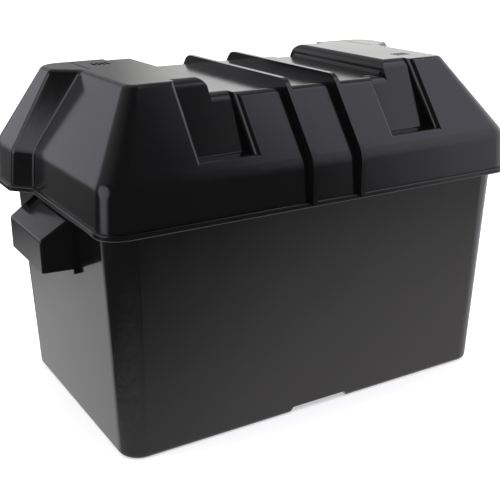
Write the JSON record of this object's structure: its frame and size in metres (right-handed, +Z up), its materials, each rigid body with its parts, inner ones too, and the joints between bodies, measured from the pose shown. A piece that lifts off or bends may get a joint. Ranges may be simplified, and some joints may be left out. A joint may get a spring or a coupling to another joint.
{
  "type": "battery box with deep cycle battery",
  "caption": "Glossy black lidded battery box with end handles and a vented strap-channel lid, holding a flooded deep cycle battery of six cells.",
  "frame": {"origin": "on the ground under the middle of the box", "axes": "+X along the length, +Y to the back (the side with the raised rear corner blocks), +Z up; the lid's front faces -Y"},
  "size_m": [0.381, 0.2264, 0.2554],
  "materials": {
    "box_plastic": "moulded polypropylene, glossy black",
    "case_plastic": "moulded polypropylene, satin dark grey",
    "cover_plastic": "moulded polypropylene, satin black",
    "vent_plastic": "satin black",
    "lead": "cast lead, dull grey",
    "steel": "stainless steel",
    "cap_red": "soft vinyl, red",
    "cap_black": "soft vinyl, black",
    "seal_rubber": "matt",
    "plate_grey": "pasted sponge lead, matt",
    "plate_brown": "pasted lead dioxide, matt dark brown",
    "separator": "microporous polyethylene with glass mat"
  },
  "bodies": {
    "box": {"battery_box": "box_plastic"},
    "battery": {"battery_case": "case_plastic", "battery_cover": "cover_plastic", "terminal_base_negative": "lead", "terminal_post_negative": "lead", "terminal_stud_negative": "steel", "washer_negative": "steel", "terminal_base_positive": "lead", "terminal_post_positive": "lead", "terminal_stud_positive": "steel", "washer_positive": "steel", "plates_negative_1": "plate_grey", "plates_positive_1": "plate_brown", "strap_negative_1": "lead", "strap_positive_1": "lead", "separators_1": "separator", "plates_negative_2": "plate_grey", "plates_positive_2": "plate_brown", "strap_negative_2": "lead", "strap_positive_2": "lead", "separators_2": "separator", "plates_negative_3": "plate_grey", "plates_positive_3": "plate_brown", "strap_negative_3": "lead", "strap_positive_3": "lead", "separators_3": "separator", "plates_negative_4": "plate_grey", "plates_positive_4": "plate_brown", "strap_negative_4": "lead", "strap_positive_4": "lead", "separators_4": "separator", "plates_negative_5": "plate_grey", "plates_positive_5": "plate_brown", "strap_negative_5": "lead", "strap_positive_5": "lead", "separators_5": "separator", "plates_negative_6": "plate_grey", "plates_positive_6": "plate_brown", "strap_negative_6": "lead", "strap_positive_6": "lead", "separators_6": "separator", "cell_connectors": "lead"},
    "lid": {"lid": "box_plastic"},
    "vent_cap_left": {"vent_cap_left": "vent_plastic", "vent_seals_left": "seal_rubber"},
    "vent_cap_right": {"vent_cap_right": "vent_plastic", "vent_seals_right": "seal_rubber"},
    "terminal_cap_negative": {"terminal_cap_negative": "cap_black"},
    "terminal_cap_positive": {"terminal_cap_positive": "cap_red"},
    "wing_nut_negative": {"wing_nut_negative": "steel"},
    "wing_nut_positive": {"wing_nut_positive": "steel"}
  },
  "joints": [
    {"name": "battery_lift", "type": "slide", "parent": "box", "child": "battery", "axis": [0, 0, 1], "range_m": [0, 0.2]},
    {"name": "lid_lift", "type": "slide", "parent": "battery", "child": "lid", "axis": [0, 0, 1], "range_m": [0, 0.12]},
    {"name": "vent_cap_left_lift", "type": "slide", "parent": "battery", "child": "vent_cap_left", "axis": [0, 0, 1], "range_m": [0, 0.016]},
    {"name": "vent_cap_right_lift", "type": "slide", "parent": "battery", "child": "vent_cap_right", "axis": [0, 0, 1], "range_m": [0, 0.016]},
    {"name": "terminal_cap_negative_lift", "type": "slide", "parent": "battery", "child": "terminal_cap_negative", "axis": [0, 0, 1], "range_m": [0, 0.018]},
    {"name": "terminal_cap_positive_lift", "type": "slide", "parent": "battery", "child": "terminal_cap_positive", "axis": [0, 0, 1], "range_m": [0, 0.018]},
    {"name": "wing_nut_negative_turn", "type": "hinge", "parent": "battery", "child": "wing_nut_negative", "pos_m": [-0.094, -0.052, 0.208], "axis": [0, 0, 1], "continuous": true},
    {"name": "wing_nut_positive_turn", "type": "hinge", "parent": "battery", "child": "wing_nut_positive", "pos_m": [0.094, -0.052, 0.208], "axis": [0, 0, 1], "continuous": true}
  ]
}
